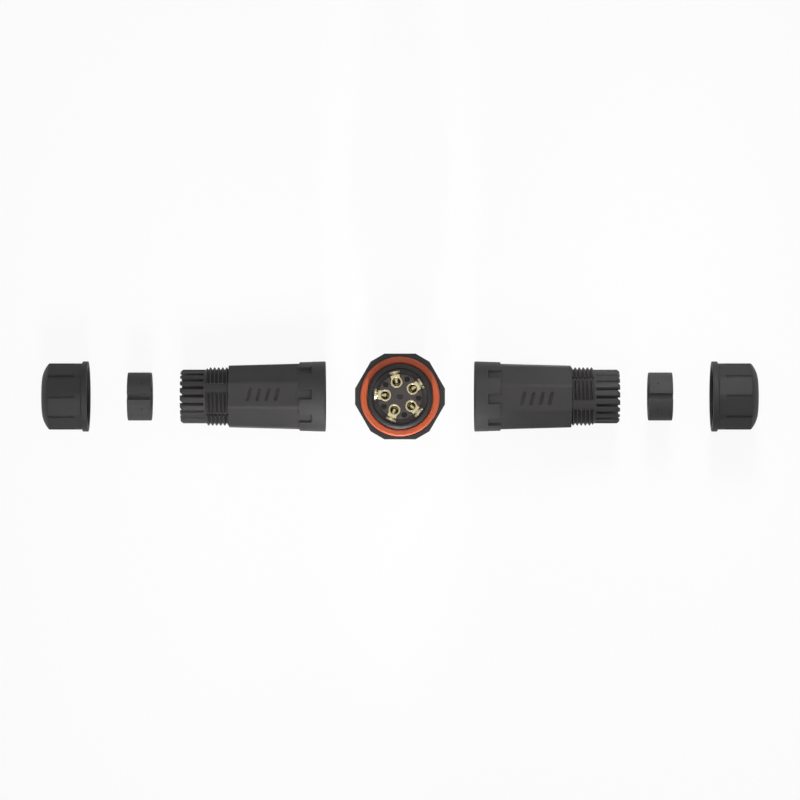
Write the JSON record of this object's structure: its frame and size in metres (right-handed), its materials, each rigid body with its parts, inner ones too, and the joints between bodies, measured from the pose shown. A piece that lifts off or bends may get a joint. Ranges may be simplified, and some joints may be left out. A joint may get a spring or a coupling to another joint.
{
  "type": "inline power connector",
  "caption": "Sealed inline power connector laid out in pieces: terminal body with clamp screws and orange sealing rings, threaded sleeves, rubber seals and gland caps",
  "frame": {"origin": "on the floor, in the middle of the terminal body that stands there", "axes": "+X along the row of pieces to the right cap, +Y up in the picture, +Z up to the camera"},
  "size_m": [0.2648, 0.0316, 0.035],
  "materials": {
    "housing_nylon": "moulded black nylon, fine matte",
    "carrier_nylon": "moulded black nylon with a brown tint, satin",
    "gasket_silicone": "moulded orange silicone, satin",
    "contact_brass": "turned brass",
    "screw_brass": "turned brass, slotted",
    "sleeve_nylon": "moulded black nylon, fine matte",
    "seal_rubber": "moulded dark grey rubber",
    "cap_nylon": "moulded black nylon, fine matte"
  },
  "bodies": {
    "centre": {"centre_housing": "housing_nylon", "terminal_carrier": "carrier_nylon", "upper_gasket": "gasket_silicone", "lower_gasket": "gasket_silicone", "contact_1": "contact_brass", "contact_2": "contact_brass", "contact_3": "contact_brass", "contact_4": "contact_brass", "contact_5": "contact_brass", "left_sleeve": "sleeve_nylon", "right_sleeve": "sleeve_nylon"},
    "left_cap": {"left_cap": "cap_nylon"},
    "left_seal": {"left_seal": "seal_rubber"},
    "right_cap": {"right_cap": "cap_nylon"},
    "right_seal": {"right_seal": "seal_rubber"},
    "upper_screw_1": {"upper_screw_1": "screw_brass"},
    "upper_screw_2": {"upper_screw_2": "screw_brass"},
    "upper_screw_3": {"upper_screw_3": "screw_brass"},
    "upper_screw_4": {"upper_screw_4": "screw_brass"},
    "upper_screw_5": {"upper_screw_5": "screw_brass"},
    "lower_screw_1": {"lower_screw_1": "screw_brass"},
    "lower_screw_2": {"lower_screw_2": "screw_brass"},
    "lower_screw_3": {"lower_screw_3": "screw_brass"},
    "lower_screw_4": {"lower_screw_4": "screw_brass"},
    "lower_screw_5": {"lower_screw_5": "screw_brass"}
  },
  "joints": [
    {"name": "left_cap_slide", "type": "slide", "parent": "centre", "child": "left_cap", "axis": [1, 0, 0], "range_m": [0, 0.04875]},
    {"name": "left_seal_slide", "type": "slide", "parent": "centre", "child": "left_seal", "axis": [1, 0, 0], "range_m": [0, 0.0198]},
    {"name": "right_cap_slide", "type": "slide", "parent": "centre", "child": "right_cap", "axis": [-1, 0, 0], "range_m": [0, 0.04875]},
    {"name": "right_seal_slide", "type": "slide", "parent": "centre", "child": "right_seal", "axis": [-1, 0, 0], "range_m": [0, 0.0198]},
    {"name": "upper_screw_1_slide", "type": "slide", "parent": "centre", "child": "upper_screw_1", "axis": [0.8526, 0.5225, 0], "range_m": [0, 0.0026]},
    {"name": "upper_screw_2_slide", "type": "slide", "parent": "centre", "child": "upper_screw_2", "axis": [-0.2334, 0.9724, 0], "range_m": [0, 0.0026]},
    {"name": "upper_screw_3_slide", "type": "slide", "parent": "centre", "child": "upper_screw_3", "axis": [-0.9969, 0.0785, 0], "range_m": [0, 0.0026]},
    {"name": "upper_screw_4_slide", "type": "slide", "parent": "centre", "child": "upper_screw_4", "axis": [-0.3827, -0.9239, 0], "range_m": [0, 0.0026]},
    {"name": "upper_screw_5_slide", "type": "slide", "parent": "centre", "child": "upper_screw_5", "axis": [0.7604, -0.6494, 0], "range_m": [0, 0.0026]},
    {"name": "lower_screw_1_slide", "type": "slide", "parent": "centre", "child": "lower_screw_1", "axis": [0.8526, 0.5225, 0], "range_m": [0, 0.0026]},
    {"name": "lower_screw_2_slide", "type": "slide", "parent": "centre", "child": "lower_screw_2", "axis": [-0.2334, 0.9724, 0], "range_m": [0, 0.0026]},
    {"name": "lower_screw_3_slide", "type": "slide", "parent": "centre", "child": "lower_screw_3", "axis": [-0.9969, 0.0785, 0], "range_m": [0, 0.0026]},
    {"name": "lower_screw_4_slide", "type": "slide", "parent": "centre", "child": "lower_screw_4", "axis": [-0.3827, -0.9239, 0], "range_m": [0, 0.0026]},
    {"name": "lower_screw_5_slide", "type": "slide", "parent": "centre", "child": "lower_screw_5", "axis": [0.7604, -0.6494, 0], "range_m": [0, 0.0026]}
  ],
  "couplings": [
    {"joint": "left_seal_slide", "follows": "left_cap_slide", "ratio": 0.40615},
    {"joint": "right_seal_slide", "follows": "right_cap_slide", "ratio": 0.40615}
  ]
}
